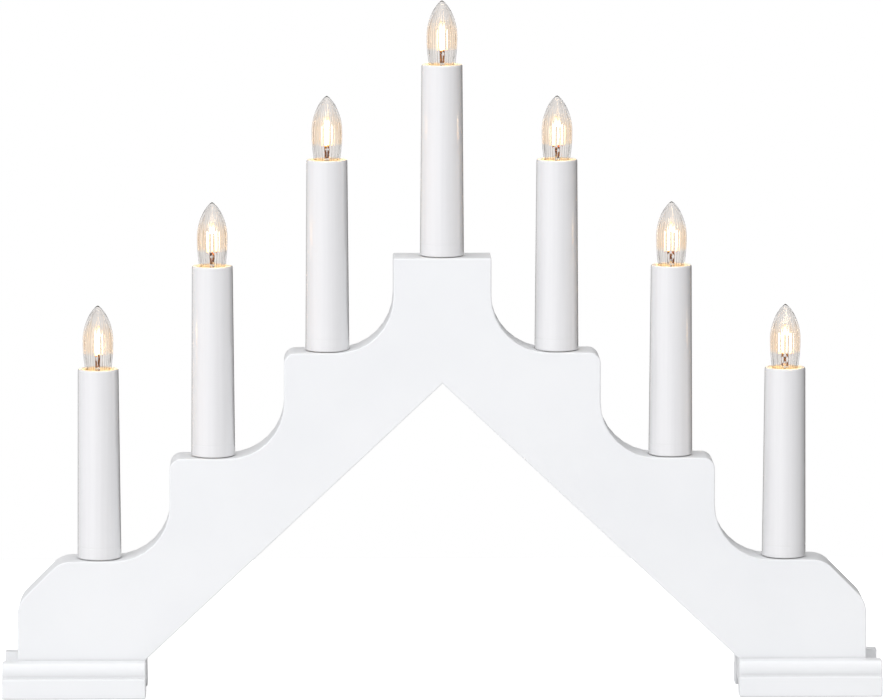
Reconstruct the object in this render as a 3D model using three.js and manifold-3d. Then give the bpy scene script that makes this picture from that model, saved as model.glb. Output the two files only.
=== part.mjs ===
// Seven-light electric candle arch: a stepped, painted board on four foot mouldings carries seven
// plastic candle sleeves. Each sleeve stands over a lamp holder with a screw-in, flame-shaped lamp.
// Millimetres, +Z up, front towards -Y, origin on the table under the middle of the board.

import * as THREE from 'three';
import { mergeVertices } from 'three/addons/utils/BufferGeometryUtils.js';
import Module from 'manifold-3d';

const wasm = await Module();
wasm.setup();

// Clearance between pieces that slip into each other, and the overshoot of a cutting body
const fit = 0.3;
const overshoot = 1;

// Candles: how many, how far apart, and the heights of the steps that they stand on
const candleCount = 7;
const candlePitch = 50.7;
const peakTop = 195;
const upperDrop = 42;
const middleDrop = 47;
const lowerDrop = 45.8;

// Board outline: reach of each step past its candle, round coves between steps, end chamfer
const boardThickness = 22;
const peakHalfWidth = 21.6;
const stepReach = 19.2;
const endReach = 36.2;
const coveRadius = 25;
const stepCornerRadius = 5;
const endChamfer = 19;
const endChamferRadius = 12;
const apexHeight = 139.3;
const footInside = 20.6;
const footLift = 6;

// Foot mouldings: a flat plinth with a rounded bead above it, on both faces of each foot
const plinthHeight = 9;
const plinthDepth = 9.5;
const beadHeight = 6.9;
const beadDepth = 8;
const beadNose = 2;
const mouldingOverhang = 6.7;

// Bores under the candles and the wiring groove along the underside
const boreRadius = 4.5;
const grooveDepth = 6;
const seatReliefGap = 0.4;

// Candle sleeve: drafted plastic tube
const sleeveLength = 84.5;
const sleeveTopRadius = 9;
const sleeveBottomRadius = 9.7;
const sleeveWall = 1.2;
const sleeveEdge = 0.5;

// Lamp holder: spigot in the board, flange under the sleeve, hollow post with a cup on top
const spigotLength = 14;
const flangeHeight = 2;
const postRadius = 6.9;
const postWall = 1.2;
const collarHeight = 3;
const cupFloor = 1.5;

// Lamp: threaded cap, flame-shaped glass, filament on a glass stem
const threadPitch = 1.814;
const threadDepth = 0.51;
const capRadius = 4.76;
const capTurns = 3;
const capLip = 0.7;
const capDepthInSleeve = 5.5;
const capSocketDepth = 2.5;
const insulatorRadius = 2.9;
const insulatorHeight = 1.2;
const buttonRadius = 1.7;
const buttonHeight = 1.1;
const glassHeight = 28.1;
const glassRadius = 6.76;
const glassWidestHeight = 12.2;
const glassRimRadius = 5.85;
const glassNeckRadius = 3.5;
const glassWall = 0.5;
const glassTipPower = 0.763;
const stemRadius = 1.7;
const stemTopRadius = 0.9;
const stemTopHeight = 2.2;
const filamentFoot = 6;
const filamentTop = 17;
const filamentHalfWidth = 1.8;
const filamentWire = 0.32;

// Socket: threaded shell with a solder tab, and a sprung contact in the middle of the cup floor
const shellWall = 0.5;
const shellTurns = 2.5;
const shellLip = 0.6;
const threadGap = 0.34;
const tabWidth = 1.6;
const tabThickness = 0.5;
const tabDrop = 3;
const contactRadius = 2;
const contactThickness = 0.6;
const contactStemRadius = 0.7;
const contactStemDrop = 3;

// Jumper wires: in series out along the odd candles and back along the even ones
const wireRadius = 0.8;
const wireLane = 1.2;
const wireLift = 2.2;
const wireBend = 2;
const wireEndGap = 0.6;
const wireSpreadDrop = 8;
const wireRoute = [[1, 3], [3, 5], [5, 7], [7, 6], [6, 4], [4, 2]];

// Facets
const arcDivisions = 4;
const boreSegments = 16;
const sleeveSegments = 20;
const holderSegments = 12;
const threadSegments = 12;
const rowsPerTurn = 4;
const glassSegments = 16;
const glassShoulderShares = [0, 0.5, 1];
const glassTipShares = [0.35, 0.65, 0.9];
const contactSegments = 8;
const stemSegments = 8;
const wireSides = 6;
const bendSegments = 4;
const filamentSides = 5;
const filamentBendSegments = 1;
const weldDistance = 1e-4;

// Places worked out from the sizes above
const candlesPerSide = (candleCount - 1) / 2;
const stepTops = [peakTop, peakTop - upperDrop];
stepTops.push(stepTops[1] - middleDrop);
stepTops.push(stepTops[2] - lowerDrop);
const endCandleX = candlesPerSide * candlePitch;
const boardHalfWidth = endCandleX + endReach;
const footInnerX = endCandleX - footInside;
const mouldingOuterX = boardHalfWidth + mouldingOverhang;
const mouldingHeight = plinthHeight + beadHeight;
const archSlope = (apexHeight - mouldingHeight) / footInnerX;
const archSecant = Math.hypot(1, archSlope);
const sleeveBottom = fit;
const rimHeight = sleeveBottom + sleeveLength;
const capTop = rimHeight - capDepthInSleeve;
const capThreadBottom = capTop - capLip - capTurns * threadPitch;
const insulatorBottom = capThreadBottom - insulatorHeight;
const buttonBottom = insulatorBottom - buttonHeight;
const contactTop = buttonBottom - fit;
const floorTop = contactTop - contactThickness - fit;
const floorBottom = floorTop - cupFloor;
const shellThreadRadius = capRadius + threadGap;
const shellRadius = shellThreadRadius + shellWall;
const shellThreadTop = capTop - capLip - threadPitch;
const shellTop = shellThreadTop + shellLip;
const cupRadius = shellRadius + fit;
const tabRadius = shellRadius * Math.cos(Math.PI / threadSegments) - tabThickness / 2;
const wireHole = Math.hypot(wireLane, wireLane) + wireRadius + fit;
const grooveWidth = 2 * (wireLane + wireRadius + fit);

// Materials
const paint = new THREE.MeshStandardMaterial({ color: 0xf1f2f4, roughness: 0.45, metalness: 0 });
const sleevePlastic = new THREE.MeshStandardMaterial({ color: 0xf0eff0, roughness: 0.25, metalness: 0 });
const holderPlastic = new THREE.MeshStandardMaterial({ color: 0xe6e2d8, roughness: 0.5, metalness: 0 });
const brass = new THREE.MeshStandardMaterial({ color: 0xc9a35a, roughness: 0.35, metalness: 1 });
const lampGlass = new THREE.MeshStandardMaterial({
  color: 0xf7f4ec, roughness: 0.05, metalness: 0, transparent: true, opacity: 0.35,
});
const filamentMetal = new THREE.MeshStandardMaterial({
  color: 0xffd9a0, roughness: 0.4, metalness: 0.6, emissive: 0xffb860, emissiveIntensity: 1,
});
const wireSheath = new THREE.MeshStandardMaterial({ color: 0xe9e9e6, roughness: 0.55, metalness: 0 });

// Solid of a closed geometry, for joining and cutting
function solid(geometry) {
  const bare = geometry.clone();
  bare.deleteAttribute('normal');
  bare.deleteAttribute('uv');
  const merged = mergeVertices(bare, weldDistance);
  const corners = merged.index.array;
  const triangles = [];
  for (let i = 0; i < corners.length; i += 3) {
    const [a, b, c] = corners.subarray(i, i + 3);
    if (a !== b && b !== c && c !== a) triangles.push(a, b, c);
  }
  return new wasm.Manifold(new wasm.Mesh({
    numProp: 3,
    vertProperties: Float32Array.from(merged.attributes.position.array),
    triVerts: Uint32Array.from(triangles),
  }));
}

// Geometry of a joined or cut solid
function geometryOf(body) {
  const mesh = body.getMesh();
  const geometry = new THREE.BufferGeometry();
  geometry.setAttribute('position', new THREE.BufferAttribute(mesh.vertProperties, 3));
  geometry.setIndex(new THREE.BufferAttribute(mesh.triVerts, 1));
  geometry.computeVertexNormals();
  return geometry;
}

// Turned piece: a profile of [radius, height] points, outside upwards, revolved about Z
function turned(profile, segments) {
  const points = profile.map(([radius, height]) => new THREE.Vector2(radius, height));
  return new THREE.LatheGeometry(points, segments).rotateX(Math.PI / 2);
}

// Turned ring: a profile that closes on itself
function turnedRing(profile, segments) {
  return turned([...profile, profile[0]], segments);
}

// Upright cylinder between two heights
function uprightCylinder(radius, bottom, top, segments) {
  const geometry = new THREE.CylinderGeometry(radius, radius, top - bottom, segments);
  return geometry.rotateX(Math.PI / 2).translate(0, 0, (bottom + top) / 2);
}

// Flat outline in X and Z, extruded through the given depth about the plane Y = 0
function upright(outline, depth) {
  const shape = new THREE.Shape(outline);
  const geometry = new THREE.ExtrudeGeometry(shape, { depth, bevelEnabled: false });
  return geometry.rotateX(Math.PI / 2).translate(0, depth / 2, 0);
}

// Skin over a row of rings with equally many points; a ring of one point closes the row to a tip,
// and a looped row joins its last ring to its first
function skin(rings, looped = false) {
  const positions = [];
  const starts = rings.map((ring) => {
    const start = positions.length / 3;
    ring.forEach((point) => positions.push(point.x, point.y, point.z));
    return start;
  });
  const sides = Math.max(...rings.map((ring) => ring.length));
  const corner = (ring, side) => starts[ring] + (side % rings[ring].length);
  const triangles = [];
  const bands = looped ? rings.length : rings.length - 1;
  for (let band = 0; band < bands; band += 1) {
    const next = (band + 1) % rings.length;
    for (let side = 0; side < sides; side += 1) {
      const a = corner(band, side);
      const b = corner(band, side + 1);
      const c = corner(next, side + 1);
      const d = corner(next, side);
      if (a !== b) triangles.push(a, b, c);
      if (c !== d) triangles.push(a, c, d);
    }
  }
  const geometry = new THREE.BufferGeometry();
  geometry.setAttribute('position', new THREE.Float32BufferAttribute(positions, 3));
  geometry.setIndex(triangles);
  geometry.computeVertexNormals();
  return geometry;
}

// Ring of points about Z whose radius follows a right-hand thread of the given depth
function threadRing(radius, height, depth = 0) {
  const ring = [];
  for (let i = 0; i < threadSegments; i += 1) {
    const angle = (2 * Math.PI * i) / threadSegments;
    const phase = (2 * Math.PI * height) / threadPitch - angle;
    const reach = radius - (depth / 2) * (1 - Math.cos(phase));
    ring.push(new THREE.Vector3(reach * Math.cos(angle), reach * Math.sin(angle), height));
  }
  return ring;
}

// Rows of a thread from one height up to another, fading in at both ends
function threadRows(radius, bottom, top) {
  const count = Math.round(((top - bottom) / threadPitch) * rowsPerTurn);
  const rows = [];
  for (let row = 0; row <= count; row += 1) {
    const height = bottom + ((top - bottom) * row) / count;
    const atEnd = row === 0 || row === count;
    rows.push(atEnd ? threadRing(radius - threadDepth, height) : threadRing(radius, height, threadDepth));
  }
  return rows;
}

// Round tube along a bent line: every corner of the line is rounded to the bend radius
function bentTube(line, radius, bend, sides, segments) {
  const path = [line[0]];
  for (let i = 1; i < line.length - 1; i += 1) {
    const before = line[i - 1].clone().sub(line[i]).normalize();
    const after = line[i + 1].clone().sub(line[i]).normalize();
    const halfAngle = before.angleTo(after) / 2;
    const cutBack = bend / Math.tan(halfAngle);
    const inward = before.clone().add(after).normalize();
    const centre = line[i].clone().addScaledVector(inward, bend / Math.sin(halfAngle));
    const from = line[i].clone().addScaledVector(before, cutBack).sub(centre);
    const axis = before.clone().cross(after).normalize();
    const sweep = -(Math.PI - 2 * halfAngle);
    for (let step = 0; step <= segments; step += 1) {
      const arm = from.clone().applyAxisAngle(axis, (sweep * step) / segments);
      path.push(centre.clone().add(arm));
    }
  }
  path.push(line[line.length - 1]);
  const up = new THREE.Vector3(0, 1, 0);
  const rings = path.map((point, i) => {
    const ahead = path[Math.min(i + 1, path.length - 1)];
    const behind = path[Math.max(i - 1, 0)];
    const along = ahead.clone().sub(behind).normalize();
    const first = up.clone().cross(along).normalize();
    const second = along.clone().cross(first);
    const ring = [];
    for (let side = 0; side < sides; side += 1) {
      const angle = (2 * Math.PI * side) / sides;
      const offset = first.clone().multiplyScalar(radius * Math.cos(angle));
      ring.push(point.clone().add(offset.addScaledVector(second, radius * Math.sin(angle))));
    }
    return ring;
  });
  return skin([[path[0]], ...rings, [path[path.length - 1]]]);
}

// Candles are numbered from 1 at the left end
function candleX(number) {
  return (number - 1 - candlesPerSide) * candlePitch;
}

function seatHeight(number) {
  return stepTops[Math.abs(number - 1 - candlesPerSide)];
}

// Solder tabs face front left on the odd candles and back right on the even ones
function tabSide(number) {
  return number % 2 === 0 ? 1 : -1;
}

// Height of a line that runs the given lift above the underside of the board
function undersideHeight(x, lift) {
  const onArch = apexHeight + lift * archSecant - archSlope * Math.abs(x);
  return Math.max(onArch, footLift + lift);
}

// Where that line turns from the slope of the arch to the level foot
function undersideCornerX(lift) {
  return (apexHeight + lift * archSecant - footLift - lift) / archSlope;
}

// Right half of the board's upper outline, from the foot's outer corner up to the peak
function boardRightEdge() {
  const edge = new THREE.Path();
  const quarter = Math.PI / 2;
  const eighth = Math.PI / 4;
  const endTop = stepTops[candlesPerSide];
  const tangent = endChamferRadius * Math.tan(eighth / 2);
  edge.moveTo(boardHalfWidth, footLift);
  edge.lineTo(boardHalfWidth, endTop - endChamfer - tangent);
  edge.absarc(boardHalfWidth - endChamferRadius, endTop - endChamfer - tangent,
    endChamferRadius, 0, eighth, false);
  edge.absarc(boardHalfWidth - endChamfer - tangent, endTop - endChamferRadius,
    endChamferRadius, eighth, quarter, false);
  for (let step = candlesPerSide - 1; step >= 0; step -= 1) {
    const sideX = step === 0 ? peakHalfWidth : step * candlePitch + stepReach;
    const coveFoot = stepTops[step + 1];
    edge.absarc(sideX + coveRadius, coveFoot + coveRadius, coveRadius, -quarter, -Math.PI, true);
    if (step === 0) {
      edge.lineTo(sideX, stepTops[step]);
    } else {
      edge.absarc(sideX - stepCornerRadius, stepTops[step] - stepCornerRadius,
        stepCornerRadius, 0, quarter, false);
    }
  }
  return edge.getPoints(arcDivisions);
}

function archBoard() {
  const right = boardRightEdge();
  const left = right.map((point) => new THREE.Vector2(-point.x, point.y)).reverse();
  const underside = [
    new THREE.Vector2(-footInnerX, footLift),
    new THREE.Vector2(-footInnerX, mouldingHeight),
    new THREE.Vector2(0, apexHeight),
    new THREE.Vector2(footInnerX, mouldingHeight),
    new THREE.Vector2(footInnerX, footLift),
  ];
  let board = solid(upright([...right, ...left, ...underside], boardThickness));
  const cornerX = undersideCornerX(grooveDepth);
  const grooveRoof = footLift + grooveDepth;
  const groove = [
    new THREE.Vector2(-endCandleX, footLift - overshoot),
    new THREE.Vector2(endCandleX, footLift - overshoot),
    new THREE.Vector2(endCandleX, grooveRoof),
    new THREE.Vector2(cornerX, grooveRoof),
    new THREE.Vector2(0, undersideHeight(0, grooveDepth)),
    new THREE.Vector2(-cornerX, grooveRoof),
    new THREE.Vector2(-endCandleX, grooveRoof),
  ];
  board = board.subtract(solid(upright(groove, grooveWidth)));
  for (let number = 1; number <= candleCount; number += 1) {
    const x = candleX(number);
    const seat = seatHeight(number);
    const boreBottom = Math.min(undersideHeight(x + boreRadius, 0), undersideHeight(x - boreRadius, 0));
    const bore = uprightCylinder(boreRadius, boreBottom - overshoot, seat + overshoot, boreSegments);
    const relief = uprightCylinder(
      sleeveBottomRadius + seatReliefGap, seat, seat + coveRadius, sleeveSegments);
    board = board.subtract(solid(bore.translate(x, 0, 0)));
    board = board.subtract(solid(relief.translate(x, 0, 0)));
  }
  return geometryOf(board);
}

// Foot moulding for one side (-1 left, 1 right) and one face (-1 front, 1 rear) of the board
function footMoulding(side, face) {
  const halfBead = beadHeight / 2;
  const noseRadius = (halfBead ** 2 + beadNose ** 2) / (2 * beadNose);
  const noseAngle = 2 * Math.atan(beadNose / halfBead);
  const section = new THREE.Shape();
  section.moveTo(0, 0);
  section.lineTo(plinthDepth, 0);
  section.lineTo(plinthDepth, plinthHeight);
  section.absarc(beadDepth - noseRadius, plinthHeight + halfBead, noseRadius,
    -noseAngle, noseAngle, false);
  section.lineTo(0, mouldingHeight);
  const length = mouldingOuterX - footInnerX;
  const geometry = new THREE.ExtrudeGeometry(section, {
    depth: length, bevelEnabled: false, curveSegments: 2 * arcDivisions,
  });
  geometry.rotateX(Math.PI / 2).rotateZ((face * Math.PI) / 2);
  const inPlaceX = (side * (footInnerX + mouldingOuterX) - face * length) / 2;
  return geometry.translate(inPlaceX, (face * boardThickness) / 2, 0);
}

function sleeveRadiusAt(height) {
  const share = (height - sleeveBottom) / sleeveLength;
  return sleeveBottomRadius + (sleeveTopRadius - sleeveBottomRadius) * share;
}

function candleSleeve() {
  const softened = sleeveEdge * (1 - Math.SQRT1_2);
  const rim = sleeveTopRadius;
  const foot = sleeveBottomRadius;
  return turnedRing([
    [foot - sleeveWall, sleeveBottom],
    [foot - sleeveEdge, sleeveBottom],
    [foot, sleeveBottom + sleeveEdge],
    [rim, rimHeight - sleeveEdge],
    [rim - softened, rimHeight - softened],
    [rim - sleeveEdge, rimHeight],
    [rim - sleeveWall, rimHeight - softened],
  ], sleeveSegments);
}

// Shell's solder tab, and with a clearance the slot for it in the cup floor
function solderTab(number, bottom, top, clearance) {
  const tab = new THREE.BoxGeometry(
    tabThickness + 2 * clearance, tabWidth + 2 * clearance, top - bottom);
  const angle = tabSide(number) > 0 ? Math.PI / 4 : (5 * Math.PI) / 4;
  return tab.translate(tabRadius, 0, (bottom + top) / 2).rotateZ(angle);
}

function lampHolder(number) {
  const flangeRadius = sleeveBottomRadius - sleeveWall - fit;
  const collarRadius = sleeveRadiusAt(shellTop) - sleeveWall - fit;
  const body = turnedRing([
    [wireHole, -spigotLength],
    [boreRadius - fit, -spigotLength],
    [boreRadius - fit, 0],
    [flangeRadius, 0],
    [flangeRadius, flangeHeight],
    [postRadius, flangeHeight],
    [postRadius, shellTop - collarHeight],
    [collarRadius, shellTop - collarHeight],
    [collarRadius, shellTop],
    [cupRadius, shellTop],
    [cupRadius, floorTop],
    [contactStemRadius + fit, floorTop],
    [contactStemRadius + fit, floorBottom],
    [postRadius - postWall, floorBottom],
    [postRadius - postWall, flangeHeight],
    [wireHole, flangeHeight],
  ], holderSegments);
  const slot = solderTab(number, floorBottom - overshoot, floorTop + overshoot, fit);
  return geometryOf(solid(body).subtract(solid(slot)));
}

function socketShell(number) {
  const threadBottom = shellThreadTop - shellTurns * threadPitch;
  const thread = threadRows(shellThreadRadius, threadBottom, shellThreadTop).reverse();
  const shell = skin([
    threadRing(shellRadius, floorTop),
    threadRing(shellRadius, shellTop),
    threadRing(shellThreadRadius, shellTop),
    ...thread.slice(1, -1),
    threadRing(shellThreadRadius, threadBottom),
    threadRing(shellThreadRadius, floorTop),
  ], true);
  const tab = solderTab(number, floorBottom - tabDrop, floorTop + shellWall, 0);
  return geometryOf(solid(shell).add(solid(tab)));
}

function centreContact() {
  return turned([
    [0, floorBottom - contactStemDrop],
    [contactStemRadius, floorBottom - contactStemDrop],
    [contactStemRadius, contactTop - contactThickness],
    [contactRadius, contactTop - contactThickness],
    [contactRadius, contactTop],
    [0, contactTop],
  ], contactSegments);
}

function lampCap() {
  const socketRadius = glassNeckRadius + fit;
  const socketFloor = capTop - capSocketDepth;
  const tip = (height) => [new THREE.Vector3(0, 0, height)];
  return skin([
    tip(buttonBottom),
    threadRing(buttonRadius, buttonBottom),
    threadRing(buttonRadius, insulatorBottom),
    threadRing(insulatorRadius, insulatorBottom),
    ...threadRows(capRadius, capThreadBottom, capTop - capLip),
    threadRing(capRadius, capTop - capLip),
    threadRing(capRadius, capTop),
    threadRing(socketRadius, capTop),
    threadRing(socketRadius, socketFloor),
    tip(socketFloor),
  ]);
}

// Outer radius of the flame-shaped glass at a height above the sleeve's rim
function glassRadiusAt(height) {
  if (height > glassWidestHeight) {
    const share = (height - glassWidestHeight) / (glassHeight - glassWidestHeight);
    return glassRadius * (1 - share ** 2) ** glassTipPower;
  }
  if (height > 0) {
    const share = 1 - height / glassWidestHeight;
    return glassRadius - (glassRadius - glassRimRadius) * share ** 2;
  }
  const share = Math.max(0, 1 + height / capDepthInSleeve);
  return glassNeckRadius + (glassRimRadius - glassNeckRadius) * Math.sin((Math.PI / 2) * share);
}

function lampGlassBulb() {
  const neckBottom = capTop - capSocketDepth + fit;
  const tipRise = glassHeight - glassWidestHeight;
  const belowRim = glassShoulderShares.map((share) => (share - 1) * capDepthInSleeve);
  const tip = glassTipShares.map((share) => glassWidestHeight + share * tipRise);
  const heights = [...belowRim, glassWidestHeight, ...tip];
  const place = (height, wall) => [glassRadiusAt(height) - wall, rimHeight + height];
  const body = turned([
    [0, neckBottom],
    [glassNeckRadius, neckBottom],
    ...heights.map((height) => place(height, 0)),
    [0, rimHeight + glassHeight],
  ], glassSegments);
  const hollow = turned([
    [0, neckBottom - overshoot],
    [glassNeckRadius - glassWall, neckBottom - overshoot],
    ...heights.map((height) => place(height, glassWall)),
    [0, rimHeight + glassHeight - 2 * glassWall],
  ], glassSegments);
  return geometryOf(solid(body).subtract(solid(hollow)));
}

function lampFilament() {
  const stemBottom = capTop - capSocketDepth + fit;
  const stemTop = rimHeight + stemTopHeight;
  const stem = turned([
    [0, stemBottom],
    [stemRadius, stemBottom],
    [stemRadius, rimHeight],
    [stemTopRadius, stemTop],
    [0, stemTop],
  ], stemSegments);
  const leadX = stemTopRadius - filamentWire;
  const place = (x, height) => new THREE.Vector3(x, 0, height);
  const loop = bentTube([
    place(-leadX, stemTop - overshoot),
    place(-filamentHalfWidth, rimHeight + filamentFoot),
    place(-filamentHalfWidth / 2, rimHeight + filamentTop),
    place(filamentHalfWidth / 2, rimHeight + filamentTop),
    place(filamentHalfWidth, rimHeight + filamentFoot),
    place(leadX, stemTop - overshoot),
  ], filamentWire, filamentWire, filamentSides, filamentBendSegments);
  return geometryOf(solid(stem).add(solid(loop)));
}

// Wire from the centre contact of one candle to the solder tab of another, by way of the groove
function jumperWire(from, to) {
  const direction = Math.sign(to - from);
  const lane = tabSide(to) * wireLane;
  const startX = candleX(from) + direction * wireLane;
  const endX = candleX(to) - direction * wireLane;
  const cornerX = undersideCornerX(wireLift);
  const between = (x) => (x - startX) * (x - endX) < 0;
  const turns = [-cornerX, 0, cornerX].filter(between);
  if (direction < 0) turns.reverse();
  const bends = [startX, ...turns, endX];
  const wireTop = (number) => seatHeight(number) + floorBottom - wireEndGap;
  const tabReach = (tabRadius - tabThickness / 2 - fit - wireRadius) * Math.SQRT1_2;
  const tabX = candleX(to) + tabSide(to) * tabReach;
  const tabY = tabSide(to) * tabReach;
  const line = [
    new THREE.Vector3(startX, lane, wireTop(from)),
    ...bends.map((x) => new THREE.Vector3(x, lane, undersideHeight(x, wireLift))),
    new THREE.Vector3(endX, lane, wireTop(to) - 2 * wireSpreadDrop),
    new THREE.Vector3(tabX, tabY, wireTop(to) - wireSpreadDrop),
    new THREE.Vector3(tabX, tabY, wireTop(to)),
  ];
  return bentTube(line, wireRadius, wireBend, wireSides, bendSegments);
}

function addPiece(parent, name, geometry, material) {
  const mesh = new THREE.Mesh(geometry, material);
  mesh.name = name;
  parent.add(mesh);
}

const candleArch = new THREE.Group();
addPiece(candleArch, 'arch_board', archBoard(), paint);
addPiece(candleArch, 'front_left_foot_moulding', footMoulding(-1, -1), paint);
addPiece(candleArch, 'rear_left_foot_moulding', footMoulding(-1, 1), paint);
addPiece(candleArch, 'front_right_foot_moulding', footMoulding(1, -1), paint);
addPiece(candleArch, 'rear_right_foot_moulding', footMoulding(1, 1), paint);

for (let number = 1; number <= candleCount; number += 1) {
  const candle = new THREE.Group();
  candle.position.set(candleX(number), 0, seatHeight(number));
  addPiece(candle, `candle_sleeve_${number}`, candleSleeve(), sleevePlastic);
  addPiece(candle, `lamp_holder_${number}`, lampHolder(number), holderPlastic);
  addPiece(candle, `socket_shell_${number}`, socketShell(number), brass);
  addPiece(candle, `centre_contact_${number}`, centreContact(), brass);
  addPiece(candle, `lamp_cap_${number}`, lampCap(), brass);
  addPiece(candle, `lamp_glass_${number}`, lampGlassBulb(), lampGlass);
  addPiece(candle, `lamp_filament_${number}`, lampFilament(), filamentMetal);
  candleArch.add(candle);
}

for (const [from, to] of wireRoute) {
  addPiece(candleArch, `jumper_wire_${from}_${to}`, jumperWire(from, to), wireSheath);
}

export default candleArch;
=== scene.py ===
"""Looks of a seven-light electric candle arch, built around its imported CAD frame.

Metres, +Z up, front towards -Y, as in the frame. Sizes that the frame doesn't give are named below.
"""

import math

import bmesh
import bpy
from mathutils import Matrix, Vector


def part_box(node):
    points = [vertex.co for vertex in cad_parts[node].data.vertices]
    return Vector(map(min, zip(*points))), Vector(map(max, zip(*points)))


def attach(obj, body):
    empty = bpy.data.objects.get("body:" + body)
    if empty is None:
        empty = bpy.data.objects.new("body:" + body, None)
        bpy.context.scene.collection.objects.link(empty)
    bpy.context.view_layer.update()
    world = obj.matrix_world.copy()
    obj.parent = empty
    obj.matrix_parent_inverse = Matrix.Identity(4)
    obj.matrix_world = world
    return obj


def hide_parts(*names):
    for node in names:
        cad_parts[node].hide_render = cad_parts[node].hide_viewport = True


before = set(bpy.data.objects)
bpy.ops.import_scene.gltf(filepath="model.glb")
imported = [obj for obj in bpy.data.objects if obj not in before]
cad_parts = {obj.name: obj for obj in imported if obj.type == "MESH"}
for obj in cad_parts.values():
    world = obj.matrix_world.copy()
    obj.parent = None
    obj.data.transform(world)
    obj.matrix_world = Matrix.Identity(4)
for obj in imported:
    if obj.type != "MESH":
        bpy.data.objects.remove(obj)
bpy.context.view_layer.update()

MM = 0.001
CANDLES = range(1, 8)
WHITE = (1.0, 1.0, 1.0)
BLACK = (0.0, 0.0, 0.0)

# Camera: where the photograph was taken from
CAMERA_TARGET = Vector((-0.2, 0.0, 152.9)) * MM
CAMERA_DISTANCE = 2787 * MM
CAMERA_AZIMUTH = math.radians(-1.1)
CAMERA_ELEVATION = math.radians(7.64)
CAMERA_LENS = 256.7
CAMERA_SENSOR = 36.0

# Painted wood: how far its edges are rounded over, and how far painted shade greys its inner corners
BOARD_EDGE = 0.65 * MM
EDGE_SEGMENTS = 3
ROUND_PROFILE = 0.5
CORNER_SHADE_REACH = 1.5 * MM
CORNER_SHADE_SAMPLES = 8
CORNER_SHADE_COLOUR = (0.62, 0.62, 0.62)
SHARP_ANGLE = math.radians(35)
FLAT_ANGLE = math.radians(1)
WELD = 0.001 * MM

# Foot moulding: bead over a plinth, measured out from the board, with paint in the corner between
PLINTH_HEIGHT = 9.0 * MM
BEAD_BASE = 6.0 * MM
BEAD_NOSE = 2.0 * MM
BEAD_STEPS = 16
MOULDING_EDGE = 0.6 * MM
PAINT_FILLET = 0.7 * MM

# Candle sleeve: drafted tube with a thick soft lip and a fine moulded ring near its foot
SLEEVE_TOP_RADIUS = 9.0 * MM
SLEEVE_WALL = 1.2 * MM
FOOT_EDGE = 0.5 * MM
RIM_EDGE = 0.8 * MM
LIP_RADIUS = 6.9 * MM
LIP_EDGE = 0.8 * MM
LIP_DEPTH = 2.5 * MM
LIP_TAPER_DEPTH = 2 * LIP_DEPTH
# Painted glow of the lip and the mouth, standing in for the lamp's warm light on them
LIP_PAINTED_GLOW = 0.2
LIP_PAINTED_GLOW_COLOUR = (1.0, 0.66, 0.38)
MOUTH_PAINTED_GLOW = 0.62
MOUTH_PAINTED_GLOW_COLOUR = (1.0, 0.60, 0.17)
SLEEVE_SEGMENTS = 96
RING_HEIGHT = 5.2 * MM
RING_HALF_WIDTH = 0.3 * MM
RING_DEPTH = 0.08 * MM
WALL_MARGIN = 0.3 * MM
ARC_STEPS = 5
HALF_ARC_ROWS = ARC_STEPS // 2 + 1

# Lamp glass: flame shape with upright flutes, heights measured from the sleeve's rim
GLASS_WIDEST_HEIGHT = 12.2 * MM
GLASS_RIM_RADIUS = 5.85 * MM
GLASS_NECK_RADIUS = 3.5 * MM
GLASS_WALL = 0.5 * MM
GLASS_TIP_WALL = 0.65 * MM
GLASS_TIP_POWER = 0.763
GLASS_IOR = 1.32
FLUTES = 36
FLUTE_STEPS = 8
FLUTE_DEPTH = 0.13 * MM
FLUTE_POWER = 4
FLUTE_FULL_HEIGHT = 4.0 * MM
OUTER_ROWS = 48
INNER_ROWS = 24

# Colour of the lamp glass, with painted light and shade: ramps over the distance from a groove (painted
# shade), the warm streaks (painted glints of the filament) and the lit height (painted glow)
HALF_FLUTE = 0.5
GROOVE_SHADE_STOPS = [
    (0.0, (0.75, 0.73, 0.715)), (0.25, (0.89, 0.87, 0.853)), (0.5, (0.925, 0.905, 0.888))]
GLINT_STREAK_STRETCH = (0.55, 60.0, 1.0)
GLINT_STREAK_STOPS = [
    (0.35, (0.96, 0.88, 0.78)), (0.5, (0.98, 0.94, 0.885)), (0.65, (1.0, 0.99, 0.96))]
LIT_STOPS = [(0.0, BLACK), (0.06, WHITE), (0.6, WHITE), (1.0, BLACK)]
LIT_FOOT = 6.3 * MM
LIT_TOP = 21.0 * MM
GLASS_PAINTED_GLOW = 0.045
GLASS_PAINTED_GLOW_COLOUR = (1.0, 0.62, 0.30)

# Lamp inside: glass stem, bead, two crossing leads, coiled filament bent to an upturned U
STEM_RADIUS = 1.6 * MM
STEM_NECK_RADIUS = 0.7 * STEM_RADIUS
STEM_TOP = -1.5 * MM
STEM_SHOULDER = 2 * STEM_TOP
STEM_SEGMENTS = 24
STEM_TINT = (0.95, 0.93, 0.88)
BEAD_RADIUS = 1.3 * MM
BEAD_FOOT_RADIUS = 0.5 * STEM_NECK_RADIUS
BEAD_HALF_HEIGHT = 1.2 * MM
BEAD_HEIGHT = 0.6 * MM
LEAD_RADIUS = 0.42 * MM
LEAD_SPREAD = 0.85 * MM
LEAD_BOW = 0.5 * LEAD_SPREAD
LEAD_TOP = 6.2 * MM
LEAD_STEPS = 16
WIRE_SIDES = 8
FILAMENT_FOOT = 6.0 * MM
FILAMENT_SHOULDER = 14.4 * MM
FILAMENT_NECK = 15.0 * MM
FILAMENT_TOP = 18.6 * MM
FILAMENT_HALF_WIDTH = 1.8 * MM
NECK_HALF_WIDTH = 0.3 * FILAMENT_HALF_WIDTH
TOP_HALF_WIDTH = 0.06 * FILAMENT_HALF_WIDTH
COIL_RADIUS = 0.48 * MM
COIL_WIRE = 0.09 * MM
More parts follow.
